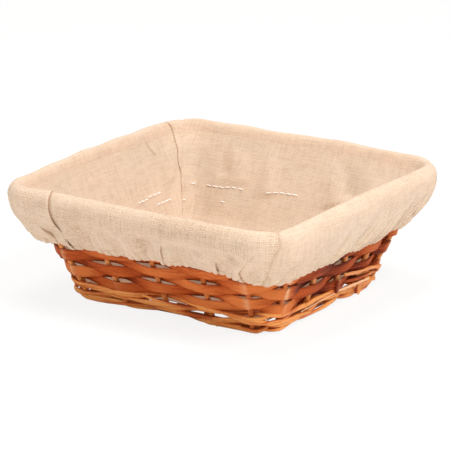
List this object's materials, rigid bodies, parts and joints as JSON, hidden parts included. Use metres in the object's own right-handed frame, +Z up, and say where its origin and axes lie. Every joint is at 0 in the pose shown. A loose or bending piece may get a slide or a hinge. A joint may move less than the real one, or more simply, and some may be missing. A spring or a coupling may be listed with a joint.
{
  "type": "woven storage basket",
  "caption": "Low square wicker storage basket with flared woven walls and a removable cloth liner folded over the rim.",
  "frame": {"origin": "centre of the footprint, on the flat underside of the base frame", "axes": "+Z up; +X along the slightly longer side; -Y is the face at the front left of the picture and +X the face at its right"},
  "size_m": [0.2664, 0.2608, 0.0983],
  "materials": {
    "chip_wood": "flat split wood chips, warm red-brown stain under a satin varnish",
    "rod_wood": "round peeled willow rods, orange-brown varnish, some split faces paler",
    "upright_wood": "round willow rods, light tan varnish",
    "base_wood": "unseen base wood, matte brown varnish",
    "liner_cloth": "plain-weave linen-look cloth, warm cream, matte",
    "cuff_cloth": "plain-weave linen-look cloth, cream, matte, softly gathered",
    "elastic": "white covered elastic, hidden in the hem"
  },
  "bodies": {
    "basket": {"base_chip_1": "chip_wood", "base_chip_2": "chip_wood", "base_chip_3": "chip_wood", "base_chip_4": "chip_wood", "base_chip_5": "chip_wood", "base_chip_6": "chip_wood", "base_frame": "base_wood", "base_stick_1": "base_wood", "base_stick_2": "base_wood", "base_stick_3": "base_wood", "base_stick_4": "base_wood", "base_stick_5": "base_wood", "chip_weaver_1": "chip_wood", "chip_weaver_2": "chip_wood", "chip_weaver_3": "chip_wood", "chip_weaver_4": "chip_wood", "chip_weaver_5": "chip_wood", "chip_weaver_6": "chip_wood", "chip_weaver_7": "chip_wood", "chip_weaver_8": "chip_wood", "chip_weaver_9": "chip_wood", "rim_hoop_inner": "rod_wood", "rim_hoop_outer": "rod_wood", "rim_lashing": "chip_wood", "rod_weaver_1": "rod_wood", "rod_weaver_2": "rod_wood", "rod_weaver_3": "rod_wood", "rod_weaver_4": "rod_wood", "upright_back_1": "upright_wood", "upright_back_2": "upright_wood", "upright_back_3": "upright_wood", "upright_back_4": "upright_wood", "upright_back_5": "upright_wood", "upright_front_1": "upright_wood", "upright_front_2": "upright_wood", "upright_front_3": "upright_wood", "upright_front_4": "upright_wood", "upright_front_5": "upright_wood", "upright_left_1": "upright_wood", "upright_left_2": "upright_wood", "upright_left_3": "upright_wood", "upright_left_4": "upright_wood", "upright_left_5": "upright_wood", "upright_right_1": "upright_wood", "upright_right_2": "upright_wood", "upright_right_3": "upright_wood", "upright_right_4": "upright_wood", "upright_right_5": "upright_wood"},
    "liner": {"hem_elastic": "elastic", "liner_cuff_back": "cuff_cloth", "liner_cuff_front": "cuff_cloth", "liner_cuff_left": "cuff_cloth", "liner_cuff_right": "cuff_cloth", "liner_floor": "liner_cloth", "liner_wall_back": "liner_cloth", "liner_wall_front": "liner_cloth", "liner_wall_left": "liner_cloth", "liner_wall_right": "liner_cloth"}
  },
  "joints": [
    {"name": "liner_lift", "type": "slide", "parent": "basket", "child": "liner", "axis": [0, 0, 1], "range_m": [0, 0.15], "deforming": ["hem_elastic", "liner_cuff_back", "liner_cuff_front", "liner_cuff_left", "liner_cuff_right"]}
  ]
}
